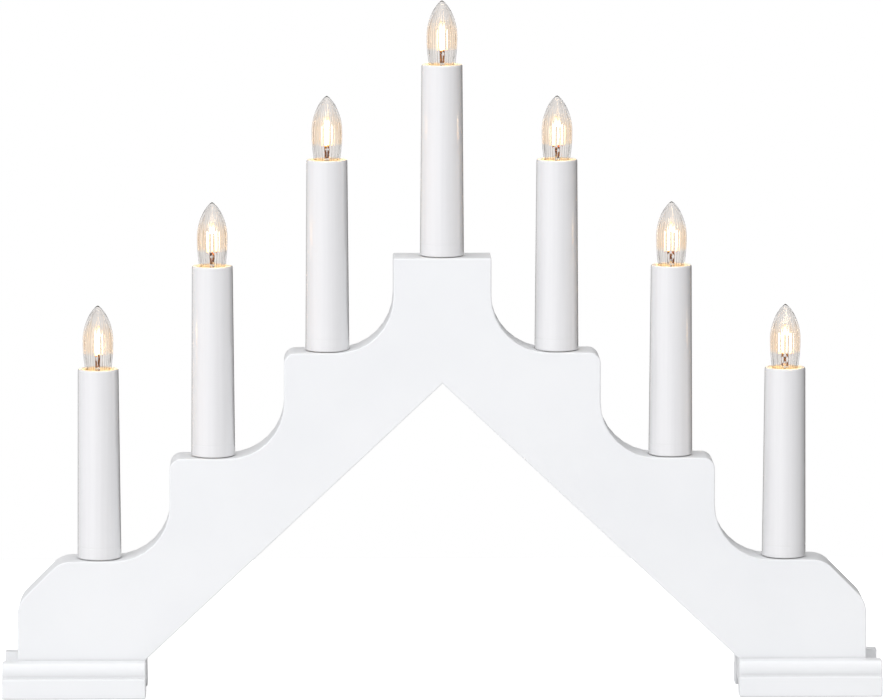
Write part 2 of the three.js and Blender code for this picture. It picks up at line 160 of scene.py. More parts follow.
COIL_PITCH = 0.4 * MM
COIL_STEPS_PER_TURN = 5
FILAMENT_GLOW = 14.0
FILAMENT_COLOUR = (0.25, 0.22, 0.2)
HEAT_STOPS = [
    (0.0, (0.8, 0.30, 0.06)), (0.25, (1.0, 0.72, 0.45)), (0.72, (1.0, 0.72, 0.45)),
    (0.86, (0.22, 0.15, 0.085)), (1.0, (0.07, 0.045, 0.02))]
FILAMENT_TURN = {1: 70, 2: 40, 3: 60, 4: 64, 5: 35, 6: 20, 7: 5}
LAMP_LIGHT_POWER = 0.004
LAMP_LIGHT_HEIGHT = 9.0 * MM
LAMP_LIGHT_SIZE = 4.0 * MM
LAMP_LIGHT_COLOUR = (1.0, 0.61, 0.25)

# Wiring: how often a wire's mesh is divided to make it round
WIRE_DIVISIONS = 2

# Shades: each finish drifts between a pair, over the middle of a noise
PAINT_SHADES = ((0.805, 0.815, 0.826), (0.829, 0.838, 0.846))
SLEEVE_SHADES = ((0.752, 0.750, 0.757), (0.770, 0.768, 0.775))
# The mouth's warm shades are painted lamp light
MOUTH_PAINTED_LAMPLIGHT_SHADES = ((0.74, 0.70, 0.63), (0.77, 0.73, 0.66))
HOLDER_SHADES = ((0.72, 0.69, 0.62), (0.76, 0.73, 0.66))
SHEATH_SHADES = ((0.76, 0.76, 0.74), (0.80, 0.80, 0.78))
BRASS_SHADES = ((0.60, 0.42, 0.17), (0.69, 0.51, 0.23))
CAP_SHADES = ((0.62, 0.53, 0.38), (0.72, 0.63, 0.46))
COPPER_SHADES = ((0.17, 0.055, 0.015), (0.48, 0.22, 0.06))
SHADE_PLACES = (0.35, 0.65)
NOISE_LOW = 0.3
NOISE_HIGH = 0.7

# Light: large and soft at the front left, soft above and behind, in a room darkest at the back right
KEY_AZIMUTH = math.radians(-33)
KEY_ELEVATION = math.radians(22)
KEY_DISTANCE = 2.6
KEY_WIDTH = 4.2
KEY_HEIGHT = 3.0
KEY_POWER = 27.5
KEY_COLOUR = (1.0, 0.995, 0.985)
TOP_LIGHT_PLACE = Vector((0.1, -0.2, 2.4))
TOP_LIGHT_SIZE = 2.0
TOP_LIGHT_POWER = 20.5
BACK_LIGHT_AZIMUTH = math.radians(179)
BACK_LIGHT_ELEVATION = math.radians(8)
BACK_LIGHT_DISTANCE = 2.0
BACK_LIGHT_SIZE = 1.0
BACK_LIGHT_POWER = 10.0
DARK_SIDE = Vector((0.6, 0.8, 0.0))
ROOM_STOPS = [
    (0.0, (1.15, 1.15, 1.18)), (0.25, (0.66, 0.66, 0.68)), (0.5, (0.66, 0.66, 0.67)),
    (0.65, (0.54, 0.54, 0.54)), (0.75, (0.33, 0.32, 0.31)), (0.83, (0.21, 0.195, 0.185)),
    (0.9, (0.03, 0.022, 0.02)), (1.0, (0.02, 0.015, 0.013))]
BACK = Vector((0.0, 1.0, 0.0))
DIM = (0.8, 0.8, 0.8)
THROUGH_GLASS_STOPS = [(0.1, WHITE), (0.3, DIM), (0.7, DIM), (0.9, WHITE)]
FLOOR_SIZE = 0.7
FLOOR_GLOW = 0.7
FLOOR_COLOUR = (0.85, 0.85, 0.85)


# Node and material helpers
def opaque(colour):
    """A colour with full alpha."""
    return (*colour, 1.0)


def add_node(tree, kind, inputs=None, **settings):
    """New node with the given settings and input values."""
    node = tree.nodes.new(kind)
    for name, value in settings.items():
        setattr(node, name, value)
    for name, value in (inputs or {}).items():
        node.inputs[name].default_value = value
    return node


def new_material(name, **shader):
    """Material with one Principled shader, and its tree and shader.

    Shader inputs are given by name, with an underscore for each space.
    """
    material = bpy.data.materials.new(name)
    material.use_nodes = True
    tree = material.node_tree
    principled = tree.nodes["Principled BSDF"]
    for key, value in shader.items():
        principled.inputs[key.replace("_", " ")].default_value = value
    return material, tree, principled


def colour_ramp(tree, source, stops):
    """Colour ramp over a value, with stops of (position, colour)."""
    ramp = add_node(tree, "ShaderNodeValToRGB")
    while len(ramp.color_ramp.elements) < len(stops):
        ramp.color_ramp.elements.new(1.0)
    for element, (position, colour) in zip(ramp.color_ramp.elements, stops):
        element.position = position
        element.color = opaque(colour)
    tree.links.new(source, ramp.inputs["Fac"])
    return ramp.outputs["Color"]


def object_noise(tree, scale, detail=2.0, stretch=(1.0, 1.0, 1.0)):
    """Noise in the object's own metres, drawn out along the axes with a small stretch."""
    place = add_node(tree, "ShaderNodeTexCoord")
    mapping = add_node(tree, "ShaderNodeMapping", {"Scale": stretch})
    noise = add_node(tree, "ShaderNodeTexNoise", {"Scale": scale, "Detail": detail})
    tree.links.new(place.outputs["Object"], mapping.inputs["Vector"])
    tree.links.new(mapping.outputs["Vector"], noise.inputs["Vector"])
    return noise.outputs["Fac"]


def between(tree, source, low, high):
    """The middle of a noise spread over a range of values."""
    spread = add_node(tree, "ShaderNodeMapRange", {
        "From Min": NOISE_LOW, "From Max": NOISE_HIGH, "To Min": low, "To Max": high})
    tree.links.new(source, spread.inputs["Value"])
    return spread.outputs["Result"]


def mottled(tree, source, shades):
    """Colour that drifts between two near shades."""
    return colour_ramp(tree, source, list(zip(SHADE_PLACES, shades)))


def surface(tree, principled, tone, shades, wear, roughness):
    """Base colour between two shades and roughness between two values, each after a noise."""
    tree.links.new(mottled(tree, tone, shades), principled.inputs["Base Color"])
    tree.links.new(between(tree, wear, *roughness), principled.inputs["Roughness"])


def bumped(tree, principled, source, strength, depth):
    """Fine relief of the given depth."""
    bump = add_node(tree, "ShaderNodeBump", {"Strength": strength, "Distance": depth})
    tree.links.new(source, bump.inputs["Height"])
    tree.links.new(bump.outputs["Normal"], principled.inputs["Normal"])


# Materials
def white_paint():
    """Satin lacquer sprayed on smooth board, with painted shade that greys its inner corners."""
    material, tree, principled = new_material("white_satin_paint")
    tone = object_noise(tree, scale=18.0, detail=3.0)
    # Painted shade: ambient occlusion greys the paint in inner corners and along joints
    corner_shade = add_node(tree, "ShaderNodeMix", {"A": opaque(CORNER_SHADE_COLOUR)}, data_type="RGBA")
    open_air = add_node(tree, "ShaderNodeAmbientOcclusion", {"Distance": CORNER_SHADE_REACH}, samples=CORNER_SHADE_SAMPLES)
    tree.links.new(open_air.outputs["AO"], corner_shade.inputs["Factor"])
    tree.links.new(mottled(tree, tone, PAINT_SHADES), corner_shade.inputs["B"])
    tree.links.new(corner_shade.outputs["Result"], principled.inputs["Base Color"])
    wear = object_noise(tree, scale=60.0)
    tree.links.new(between(tree, wear, low=0.40, high=0.50), principled.inputs["Roughness"])
    bumped(tree, principled, object_noise(tree, scale=750.0, detail=3.0), strength=0.25, depth=0.03 * MM)
    return material


def sleeve_plastic():
    """Glossy white moulded plastic with faint upright flow lines."""
    material, tree, principled = new_material(
        "white_gloss_plastic", IOR=1.55, Coat_Weight=1.0, Coat_Roughness=0.04)
    flow = object_noise(tree, scale=700.0, detail=3.0, stretch=(1.0, 1.0, 0.02))
    wear = object_noise(tree, scale=90.0)
    surface(tree, principled, flow, SLEEVE_SHADES, wear, roughness=(0.14, 0.20))
    bumped(tree, principled, flow, strength=0.08, depth=0.02 * MM)
    return material


def painted_glow_plastic(name, glow_colour, glow):
    """Plastic at the mouth of a sleeve, tinted warm and with a painted glow for the lamp's light falling on
    it and through it.
    """
    material, tree, principled = new_material(
        name, Emission_Color=opaque(glow_colour), Emission_Strength=glow)
    grain = object_noise(tree, scale=300.0)
    surface(tree, principled, grain, MOUTH_PAINTED_LAMPLIGHT_SHADES, grain, roughness=(0.32, 0.42))
    return material


def holder_plastic():
    """Matt cream plastic of the lamp holders."""
    material, tree, principled = new_material("cream_matt_plastic")
    grain = object_noise(tree, scale=900.0, detail=3.0)
    surface(tree, principled, grain, HOLDER_SHADES, grain, roughness=(0.45, 0.60))
    bumped(tree, principled, grain, strength=0.2, depth=0.03 * MM)
    return material


def wire_sheath():
    """Soft white wire covering."""
    material, tree, principled = new_material("white_wire_sheath")
    grain = object_noise(tree, scale=1200.0, detail=3.0)
    surface(tree, principled, grain, SHEATH_SHADES, grain, roughness=(0.45, 0.58))
    bumped(tree, principled, grain, strength=0.1, depth=0.02 * MM)
    return material


def rolled_metal(name, shades):
    """Thin rolled metal with a slight tarnish."""
    material, tree, principled = new_material(name, Metallic=1.0)
    tarnish = object_noise(tree, scale=420.0, detail=4.0)
    surface(tree, principled, tarnish, shades, tarnish, roughness=(0.22, 0.42))
    bumped(tree, principled, object_noise(tree, scale=2500.0), strength=0.15, depth=0.02 * MM)
    return material


def stem_glass():
    """Clear pressed glass, very slightly uneven."""
    material, tree, principled = new_material(
        "pressed_stem_glass", Base_Color=opaque(STEM_TINT), IOR=1.47, Transmission_Weight=1.0)
    uneven = object_noise(tree, scale=260.0)
    tree.links.new(between(tree, uneven, low=0.08, high=0.2), principled.inputs["Roughness"])
    bumped(tree, principled, uneven, strength=0.08, depth=0.05 * MM)
    return material


def lit_share(tree, height):
    """Share of the way up the band of glass where the filament's light is painted on."""
    share = add_node(tree, "ShaderNodeMapRange", {"From Min": LIT_FOOT, "From Max": LIT_TOP}, clamp=False)
    tree.links.new(height, share.inputs["Value"])
    return share.outputs["Result"]


def ribbed_glass():
    """Ribbed lamp glass: painted grey shade along its grooves, with painted warm glints and a painted glow
    round the height of the filament.

    Its UV map counts ribs round the glass and runs in metres above the sleeve's rim.
    """
    material, tree, principled = new_material(
        "ribbed_lamp_glass", IOR=GLASS_IOR, Transmission_Weight=1.0, Emission_Strength=GLASS_PAINTED_GLOW)
    place = add_node(tree, "ShaderNodeTexCoord")
    split = add_node(tree, "ShaderNodeSeparateXYZ")
    tree.links.new(place.outputs["UV"], split.inputs["Vector"])
    from_groove = add_node(tree, "ShaderNodeMath", {1: HALF_FLUTE}, operation="PINGPONG")
    tree.links.new(split.outputs["X"], from_groove.inputs[0])
    # Painted shade: the glass is greyer towards each groove
    clear = colour_ramp(tree, from_groove.outputs["Value"], GROOVE_SHADE_STOPS)
    stretch = add_node(tree, "ShaderNodeMapping", {"Scale": GLINT_STREAK_STRETCH})
    tree.links.new(place.outputs["UV"], stretch.inputs["Vector"])
    noise = add_node(tree, "ShaderNodeTexNoise", {"Scale": 1.0, "Detail": 3.0})
    tree.links.new(stretch.outputs["Vector"], noise.inputs["Vector"])
    streaks = noise.outputs["Fac"]
    # Painted glints: warm streaks of the filament's light, drawn out up the glass
    warm = colour_ramp(tree, streaks, GLINT_STREAK_STOPS)
    uneven = add_node(tree, "ShaderNodeMath", operation="MULTIPLY")
    tree.links.new(lit_share(tree, split.outputs["Y"]), uneven.inputs[0])
    tree.links.new(between(tree, streaks, low=0.8, high=1.3), uneven.inputs[1])
    lit = colour_ramp(tree, uneven.outputs["Value"], LIT_STOPS)
    tint = add_node(tree, "ShaderNodeMix", data_type="RGBA", blend_type="MULTIPLY")
    tree.links.new(lit, tint.inputs["Factor"])
    tree.links.new(clear, tint.inputs["A"])
    tree.links.new(warm, tint.inputs["B"])
    tree.links.new(tint.outputs["Result"], principled.inputs["Base Color"])
    # Painted glow: warm emission over the band that the filament lights
    glow_ends = {"A": opaque(BLACK), "B": opaque(GLASS_PAINTED_GLOW_COLOUR)}
    glow = add_node(tree, "ShaderNodeMix", glow_ends, data_type="RGBA")
    tree.links.new(lit, glow.inputs["Factor"])
    tree.links.new(glow.outputs["Result"], principled.inputs["Emission Color"])
    tree.links.new(between(tree, streaks, low=0.0, high=0.05), principled.inputs["Roughness"])
    return material


def glowing_filament():
    """Hot tungsten: white along its legs, orange at its two feet and dimmer at its tip."""
    material, tree, principled = new_material(
        "glowing_filament", Metallic=0.6, Roughness=0.5, Base_Color=opaque(FILAMENT_COLOUR),
        Emission_Strength=FILAMENT_GLOW)
    place = add_node(tree, "ShaderNodeTexCoord")
    split = add_node(tree, "ShaderNodeSeparateXYZ")
    tree.links.new(place.outputs["Generated"], split.inputs["Vector"])
    heat = colour_ramp(tree, split.outputs["Z"], HEAT_STOPS)
    tree.links.new(heat, principled.inputs["Emission Color"])
    return material


PAINT = white_paint()
SLEEVE = sleeve_plastic()
LIP = painted_glow_plastic("painted_glow_sleeve_lip", LIP_PAINTED_GLOW_COLOUR, LIP_PAINTED_GLOW)
MOUTH = painted_glow_plastic("painted_glow_sleeve_mouth", MOUTH_PAINTED_GLOW_COLOUR, MOUTH_PAINTED_GLOW)
HOLDER = holder_plastic()
BRASS = rolled_metal("rolled_brass", BRASS_SHADES)
CAP_METAL = rolled_metal("plated_cap_metal", CAP_SHADES)
COPPER = rolled_metal("copper_lead", COPPER_SHADES)
GLASS = ribbed_glass()
STEM_GLASS = stem_glass()
FILAMENT = glowing_filament()
SHEATH = wire_sheath()


# Object and mesh helpers
def placed(name, data):
    """New object of a mesh, light or camera, in the scene."""
    item = bpy.data.objects.new(name, data)
    bpy.context.scene.collection.objects.link(item)
    return item


def mesh_object(name, points, faces, material, body):
    """Smooth-shaded object of a mesh, which rides on a body and takes a material."""
    mesh = bpy.data.meshes.new(name)
    mesh.from_pydata([tuple(point) for point in points], [], faces)
    return dressed(name, mesh, material, body)


def dressed(name, mesh, material, body):
    """Object of a finished mesh: smooth up to the sharp angle, with its material and body."""
    mesh.polygons.foreach_set("use_smooth", [True] * len(mesh.polygons))
    mesh.set_sharp_from_angle(angle=SHARP_ANGLE)
    mesh.materials.clear()
    mesh.materials.append(material)
    piece = placed(name, mesh)
    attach(piece, body)
    return piece


def skin(rings, looped=False):
    """Points and faces over rows of rings; a ring of one point closes its end to a tip."""
    points = []
    starts = []
    for ring in rings:
        starts.append(len(points))
        points.extend(ring)
    rows = list(zip(range(len(rings) - 1), range(1, len(rings))))
    if looped:
        rows.append((len(rings) - 1, 0))
    faces = []
    for low, high in rows:
        sides = max(len(rings[low]), len(rings[high]))
        for side in range(sides):
            after = side + 1
            corners = [starts[row] + step % len(rings[row])
                       for row, step in ((low, side), (low, after), (high, after), (high, side))]
            faces.append(list(dict.fromkeys(corners)))
    return points, faces


def joined(shells):
    """Points and faces of several shells in one mesh."""
    points = []
    faces = []
    for shell_points, shell_faces in shells:
        start = len(points)
        points.extend(shell_points)
        faces.extend([[start + corner for corner in face] for face in shell_faces])
    return points, faces


def ring_at(centre, height, radii):
    """Ring about an upright axis, with a radius for each step round it."""
    steps = len(radii)
    ring = []
    for step, radius in enumerate(radii):
        angle = 2 * math.pi * step / steps
        ring.append(Vector((centre.x + radius * math.cos(angle),
                            centre.y + radius * math.sin(angle), height)))
    return ring


def turned(centre, profile, segments):
    """Rings of a profile of (radius, height) points turned about an upright axis."""
    rings = []
    for radius, height in profile:
        if radius == 0:
            rings.append([Vector((centre.x, centre.y, height))])
        else:
            rings.append(ring_at(centre, height, [radius] * segments))
    return rings


def arc(across, up, radius, start, end, steps=ARC_STEPS):
    """Profile points of an arc between two angles in degrees."""
    angles = [math.radians(start + (end - start) * step / steps) for step in range(steps + 1)]
    return [(across + radius * math.cos(angle), up + radius * math.sin(angle)) for angle in angles]


def swept(path, radius_at):
    """Closed tube along a path; radius_at gives the radius for a place on the path and an angle."""
    rings = []
    side_way = Vector((0.0, 1.0, 0.0))
    for index, point in enumerate(path):
        ahead = path[min(index + 1, len(path) - 1)]
        behind = path[max(index - 1, 0)]
        along = (ahead - behind).normalized()
        first = (side_way - along * side_way.dot(along)).normalized()
        second = along.cross(first)
        ring = []
        for side in range(WIRE_SIDES):
            angle = 2 * math.pi * side / WIRE_SIDES
            reach = radius_at(index, angle)
            ring.append(point + first * (reach * math.cos(angle)) + second * (reach * math.sin(angle)))
        rings.append(ring)
        side_way = first
    return skin([[path[0]], *rings, [path[-1]]])


def welded_copy(node):
    """Editable copy of a CAD node's mesh with its corners joined."""
    work = bmesh.new()
    work.from_mesh(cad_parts[node].data)
    bmesh.ops.remove_doubles(work, verts=work.verts, dist=WELD)
    return work


def finished_mesh(work, name):
    """Mesh of an edited copy, with its faces pointing out."""
    bmesh.ops.recalc_face_normals(work, faces=work.faces)
    mesh = bpy.data.meshes.new(name)
    work.to_mesh(mesh)
    work.free()
    return mesh


# Painted wood
def painted(piece, node):
    """A wooden piece stands in for its node, and its flat faces are shaded flat."""
    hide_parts(node)
    shading = piece.modifiers.new("flat faces stay flat", "WEIGHTED_NORMAL")
    shading.keep_sharp = True


def arch_board():
    """Copy of the board with the edges of its front and back rounded over."""
    node = "arch_board"
    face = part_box(node)[1].y
    work = welded_copy(node)
    bmesh.ops.dissolve_limit(work, angle_limit=FLAT_ANGLE, verts=work.verts, edges=work.edges)
    edges = []
    for edge in work.edges:
        sharp = len(edge.link_faces) == 2 and edge.calc_face_angle() > SHARP_ANGLE
        if sharp and all(abs(abs(corner.co.y) - face) < WELD for corner in edge.verts):
            edges.append(edge)
    bmesh.ops.bevel(work, geom=edges, offset=BOARD_EDGE, offset_type="OFFSET",
                    segments=EDGE_SEGMENTS, profile=ROUND_PROFILE, affect="EDGES", clamp_overlap=True)
    painted(dressed("painted_board", finished_mesh(work, node), PAINT, "root"), node)


def moulding_section(depth, height):
    """Outline of a foot moulding, as points of (distance from the board, height)."""
    half = (height - PLINTH_HEIGHT) / 2
    bead = (half ** 2 + BEAD_NOSE ** 2) / (2 * BEAD_NOSE)
    bead_depth = BEAD_BASE + BEAD_NOSE - bead
    rise = half - PAINT_FILLET
    reach = math.sqrt((bead + PAINT_FILLET) ** 2 - rise ** 2)
    meeting = math.degrees(math.atan2(rise, reach))
    top = math.degrees(math.asin(half / bead))
    outline = [(0.0, 0.0)]
    outline += arc(depth - MOULDING_EDGE, MOULDING_EDGE, MOULDING_EDGE, -90, 0)
    outline += arc(depth - MOULDING_EDGE, PLINTH_HEIGHT - MOULDING_EDGE, MOULDING_EDGE, 0, 90)
    outline += arc(bead_depth + reach, PLINTH_HEIGHT + PAINT_FILLET, PAINT_FILLET, 270, 180 - meeting)
    outline += arc(bead_depth, PLINTH_HEIGHT + half, bead, -meeting, top, BEAD_STEPS)[1:]
    outline.append((0.0, height))
    return outline


def inset(outline, amount):
    """Outline moved inwards by an amount; it runs anticlockwise."""
    moved = []
    for index, (across, up) in enumerate(outline):
        before = Vector(outline[index - 1])
        here = Vector((across, up))
        after = Vector(outline[(index + 1) % len(outline)])
        first = (here - before).normalized().orthogonal()
        second = (after - here).normalized().orthogonal()
        shift = (first + second) * (amount / (1 + first.dot(second)))
        moved.append((across + shift.x, up + shift.y))
    return moved


def foot_moulding(node):
    """Straight length of the moulding's section with softly rounded ends."""
    low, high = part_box(node)
    outward = math.copysign(1.0, low.y + high.y)
    face = min(low.y, high.y, key=abs)
    outline = moulding_section(high.y - low.y, high.z - low.z)

    def ring(along, amount):
        corners = [Vector((along, face + outward * across, low.z + up))
                   for across, up in inset(outline, amount)]
        return corners if outward > 0 else corners[::-1]

    ends = []
    for step in range(EDGE_SEGMENTS + 1):
        angle = math.pi / 2 * step / EDGE_SEGMENTS
        ends.append((MOULDING_EDGE * (1 - math.sin(angle)), MOULDING_EDGE * (1 - math.cos(angle))))
    rings = [ring(low.x + along, amount) for along, amount in reversed(ends)]
    rings += [ring(high.x - along, amount) for along, amount in ends]
    middle = (face + outward * BEAD_BASE / 2, low.z + PLINTH_HEIGHT)
    rings.insert(0, [Vector((low.x, *middle))])
    rings.append([Vector((high.x, *middle))])
    points, faces = skin(rings)
    painted(mesh_object(f"painted_{node}", points, faces, PAINT, "root"), node)


# Candle sleeves
def candle_sleeve(number):
    """Drafted tube with a thick rounded lip, a rounded foot and a fine ring above the foot.

    Rows a margin away from the rounded edges and the ring keep the straight wall evenly shaded.
    """
    node = f"candle_sleeve_{number}"
    low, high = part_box(node)
    centre = (low + high) / 2
    foot = (high.x - low.x) / 2
    rim = SLEEVE_TOP_RADIUS

    def outside(height):
        return foot + (rim - foot) * (height - low.z) / (high.z - low.z)

    def wall(*heights):
        return [(outside(height), height) for height in heights]

    ring = low.z + RING_HEIGHT
    ring_foot = ring - RING_HALF_WIDTH
    ring_top = ring + RING_HALF_WIDTH
    profile = [(foot - SLEEVE_WALL, low.z)]
    profile += arc(foot - FOOT_EDGE, low.z + FOOT_EDGE, FOOT_EDGE, -90, 0)
    profile += wall(low.z + FOOT_EDGE + WALL_MARGIN, ring_foot - WALL_MARGIN, ring_foot)
    profile += [(outside(ring) - RING_DEPTH, ring)]
    profile += wall(ring_top, ring_top + WALL_MARGIN, high.z - RIM_EDGE - WALL_MARGIN)
    profile += arc(rim - RIM_EDGE, high.z - RIM_EDGE, RIM_EDGE, 0, 90)
    lip_row = len(profile) - HALF_ARC_ROWS
    profile += arc(LIP_RADIUS + LIP_EDGE, high.z - LIP_EDGE, LIP_EDGE, 90, 180)
    mouth_row = len(profile) - HALF_ARC_ROWS
    profile += [(LIP_RADIUS, high.z - LIP_DEPTH), (rim - SLEEVE_WALL, high.z - LIP_TAPER_DEPTH)]
    points, faces = skin(turned(centre, profile, SLEEVE_SEGMENTS), looped=True)
    piece = mesh_object(f"gloss_sleeve_{number}", points, faces, SLEEVE, "root")
    # Lip and mouth rows take the materials with the painted lamp glow
    for material, first_row, last_row in ((LIP, lip_row, mouth_row), (MOUTH, mouth_row, len(profile) - 1)):
        piece.data.materials.append(material)
        for face in piece.data.polygons[first_row * SLEEVE_SEGMENTS:last_row * SLEEVE_SEGMENTS]:
            face.material_index = len(piece.data.materials) - 1
    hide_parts(node)


def sleeve_rim(number):
    """Height of a sleeve's upper rim."""
    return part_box(f"candle_sleeve_{number}")[1].z


# Lamps
def flame_radius(height, glass_radius, glass_height, neck_depth):
    """Outer radius of the flame-shaped glass at a height above the sleeve's rim."""
    if height > GLASS_WIDEST_HEIGHT:
        share = (height - GLASS_WIDEST_HEIGHT) / (glass_height - GLASS_WIDEST_HEIGHT)
        return glass_radius * (1 - min(share, 1.0) ** 2) ** GLASS_TIP_POWER
    if height > 0:
        share = 1 - height / GLASS_WIDEST_HEIGHT
        return glass_radius - (glass_radius - GLASS_RIM_RADIUS) * share ** 2
    share = max(0.0, 1 + height / neck_depth)
    return GLASS_NECK_RADIUS + (GLASS_RIM_RADIUS - GLASS_NECK_RADIUS) * math.sin(math.pi / 2 * share)


def lamp_glass(number):
    """Fluted flame-shaped bulb with a smooth inside and an open neck; it lets light through unshaded."""
    node = f"lamp_glass_{number}"
    low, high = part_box(node)
    centre = (low + high) / 2
    rim = sleeve_rim(number)
    neck_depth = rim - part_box(f"lamp_cap_{number}")[1].z
    glass_radius = (high.x - low.x) / 2
    glass_height = high.z - rim
    steps = FLUTES * FLUTE_STEPS

    def radius(height):
        return flame_radius(height, glass_radius, glass_height, neck_depth)

    def fluted(height):
        here = radius(height)
        depth = FLUTE_DEPTH * here / glass_radius * min(1.0, max(0.0, 1 + height / FLUTE_FULL_HEIGHT))
        offsets = [2 * (step % FLUTE_STEPS) / FLUTE_STEPS - 1 for step in range(steps)]
        return [here - depth * abs(offset) ** FLUTE_POWER for offset in offsets]

    def row_height(row, rows, top):
        return (top + neck_depth) * math.sin(math.pi / 2 * row / rows) - neck_depth

    rings = [ring_at(centre, low.z, [GLASS_NECK_RADIUS] * steps)]
    for row in range(OUTER_ROWS):
        height = row_height(row, OUTER_ROWS, glass_height)
        rings.append(ring_at(centre, rim + height, fluted(height)))
    rings.append([Vector((centre.x, centre.y, high.z))])
    inner_top = glass_height - GLASS_TIP_WALL
    rings.append([Vector((centre.x, centre.y, rim + inner_top))])
    for row in reversed(range(INNER_ROWS)):
        height = row_height(row, INNER_ROWS, inner_top)
        inside = min(radius(height) - GLASS_WALL, radius(height + GLASS_TIP_WALL))
        rings.append(ring_at(centre, rim + height, [inside] * steps))
    rings.append(ring_at(centre, low.z, [GLASS_NECK_RADIUS - GLASS_WALL] * steps))
    points, faces = skin(rings, looped=True)
    faces = [face for face in faces if len(face) > 2]
    piece = mesh_object(f"fluted_glass_{number}", points, faces, GLASS, f"lamp_{number}")
    rib_map(piece.data, centre, rim, number)
    piece.visible_shadow = False
    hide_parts(node)


def rib_map(mesh, centre, rim, number):
    """UV map that counts ribs round a lamp, differently for each lamp, and gives the height above the rim."""
    layer = mesh.uv_layers.new(name="ribs")
    for face in mesh.polygons:
        places = [mesh.vertices[mesh.loops[corner].vertex_index].co for corner in face.loop_indices]
        turns = [math.atan2(place.y - centre.y, place.x - centre.x) / (2 * math.pi) % 1.0
                 for place in places]
        for corner, place, turn in zip(face.loop_indices, places, turns):
            wrapped = turn + 1 if max(turns) - turn > 0.5 else turn
            layer.uv[corner].vector = ((number + wrapped) * FLUTES, place.z - rim)


def lamp_stem(number, centre, bottom, rim):
    """Pressed glass stem with the bead that holds the two leads apart."""
    bead = rim + BEAD_HEIGHT
    profile = [(0, bottom), (STEM_RADIUS, bottom), (STEM_RADIUS, rim + STEM_SHOULDER)]
    profile += [(STEM_NECK_RADIUS, rim + STEM_TOP)]
    steps = 2 * ARC_STEPS
    for step in range(1, steps):
        angle = math.pi * (step / steps - 0.5)
        least = BEAD_FOOT_RADIUS if angle < 0 else 0.0
        radius = max(BEAD_RADIUS * math.cos(angle), least)
        profile.append((radius, bead + BEAD_HALF_HEIGHT * math.sin(angle)))
    profile.append((0, bead + BEAD_HALF_HEIGHT))
    points, faces = skin(turned(centre, profile, STEM_SEGMENTS))
    piece = mesh_object(f"lamp_stem_{number}", points, faces, STEM_GLASS, f"lamp_{number}")
    piece.visible_shadow = False


def lamp_leads(number, centre, rim, turn):
    """Two copper leads that rise from the bead and cross on their way to the filament's feet."""
    tubes = []
    for way in (turn, turn + math.pi):
        path = []
        for step in range(LEAD_STEPS + 1):
            share = step / LEAD_STEPS
            reach = LEAD_SPREAD + (FILAMENT_HALF_WIDTH - LEAD_SPREAD) * share ** 3
            across = reach * math.cos(math.pi * (1 - share))
            bow = LEAD_BOW * math.sin(math.pi * share)
            path.append(Vector((
                centre.x + across * math.cos(way) - bow * math.sin(way),
                centre.y + across * math.sin(way) + bow * math.cos(way),
                rim + BEAD_HEIGHT + (LEAD_TOP - BEAD_HEIGHT) * share)))
        tubes.append(swept(path, lambda index, angle: LEAD_RADIUS))
    points, faces = joined(tubes)
    mesh_object(f"lamp_leads_{number}", points, faces, COPPER, f"lamp_{number}")


def filament_path(centre, rim, turn):
    """Points a fraction of a coil apart along the upturned U, in the plane that the lamp faces."""
    corners = [(-FILAMENT_HALF_WIDTH, FILAMENT_FOOT), (-FILAMENT_HALF_WIDTH, FILAMENT_SHOULDER)]
    corners += [(-NECK_HALF_WIDTH, FILAMENT_NECK), (-TOP_HALF_WIDTH, FILAMENT_TOP)]
    corners += [(-across, height) for across, height in reversed(corners)]
    step = COIL_PITCH / COIL_STEPS_PER_TURN
    path = []
    for (across, height), (next_across, next_height) in zip(corners, corners[1:]):
        length = math.hypot(next_across - across, next_height - height)
        count = max(1, round(length / step))
        for index in range(count):
            share = index / count
            x = across + (next_across - across) * share
            z = height + (next_height - height) * share
            path.append(Vector((centre.x + x * math.cos(turn), centre.y + x * math.sin(turn), rim + z)))
    return path


def lamp_filament(number):
    """Stem, leads and glowing coil of one lamp, turned as that lamp stands in its socket."""
    node = f"lamp_filament_{number}"
    low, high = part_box(node)
    centre = (low + high) / 2
    rim = sleeve_rim(number)
    turn = math.radians(FILAMENT_TURN[number])
    lamp_stem(number, centre, low.z, rim)
    lamp_leads(number, centre, rim, turn)

    def coil(index, angle):
        return COIL_RADIUS + COIL_WIRE * math.cos(angle - 2 * math.pi * index / COIL_STEPS_PER_TURN)

    points, faces = swept(filament_path(centre, rim, turn), coil)
    piece = mesh_object(f"coil_filament_{number}", points, faces, FILAMENT, f"lamp_{number}")
    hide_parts(node)


# Wiring, and the hidden pieces that keep their CAD shape
def jumper_wire(node):
    """Smooth, round copy of a jumper wire."""
    work = welded_copy(node)
    bmesh.ops.join_triangles(work, faces=work.faces, angle_face_threshold=math.pi,
                             angle_shape_threshold=math.pi)
    piece = dressed(f"round_{node}", finished_mesh(work, node), SHEATH, "root")
    rounding = piece.modifiers.new("round", "SUBSURF")
    rounding.levels = WIRE_DIVISIONS
    rounding.render_levels = WIRE_DIVISIONS
    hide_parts(node)


def finish_node(node, material):
    """A CAD node that stays as it is takes a finished material."""
    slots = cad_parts[node].data.materials
    slots.clear()
    slots.append(material)


# Stage
def seen_directly(tree, strength):
    """The strength for what the camera and glass see, and none for the light that it gives."""
    path = add_node(tree, "ShaderNodeLightPath")
    either = add_node(tree, "ShaderNodeMath", operation="MAXIMUM")
    tree.links.new(path.outputs["Is Camera Ray"], either.inputs[0])
    tree.links.new(path.outputs["Is Transmission Ray"], either.inputs[1])
    scaled = add_node(tree, "ShaderNodeMath", {1: strength}, operation="MULTIPLY")
    tree.links.new(either.outputs["Value"], scaled.inputs[0])
    return scaled.outputs["Value"]


